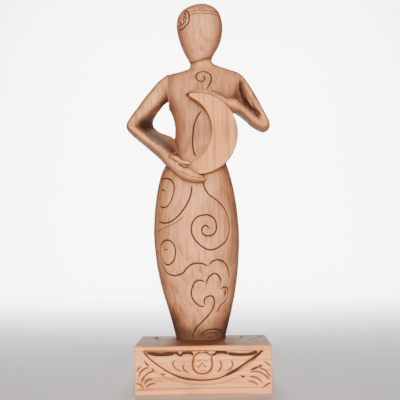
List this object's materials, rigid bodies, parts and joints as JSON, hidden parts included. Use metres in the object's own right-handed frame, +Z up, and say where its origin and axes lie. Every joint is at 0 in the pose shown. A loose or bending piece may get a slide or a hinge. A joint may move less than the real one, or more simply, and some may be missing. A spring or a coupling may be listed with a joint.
{
  "type": "carved wooden figure",
  "caption": "Standing carved wooden figure of a woman in a long scroll-carved skirt, holding a crescent moon, on a leaf-carved block.",
  "frame": {"origin": "centre of the block's underside", "axes": "+Z up through the head, -Y the front, towards which the figure looks, +X the figure's own left"},
  "size_m": [0.1145, 0.064, 0.303],
  "materials": {
    "plinth_wood": "waxed satin",
    "figure_wood": "waxed satin",
    "moon_wood": "waxed satin",
    "dowel_wood": "bare",
    "screw_steel": "zinc plated"
  },
  "bodies": {
    "root": {"plinth": "plinth_wood", "body": "figure_wood", "right_arm": "figure_wood", "left_arm": "figure_wood", "crescent_moon": "moon_wood", "foot_dowels": "dowel_wood", "plinth_screw": "screw_steel", "right_shoulder_dowel": "dowel_wood", "left_shoulder_dowel": "dowel_wood", "upper_moon_pin": "dowel_wood", "lower_moon_pin": "dowel_wood"}
  },
  "joints": []
}
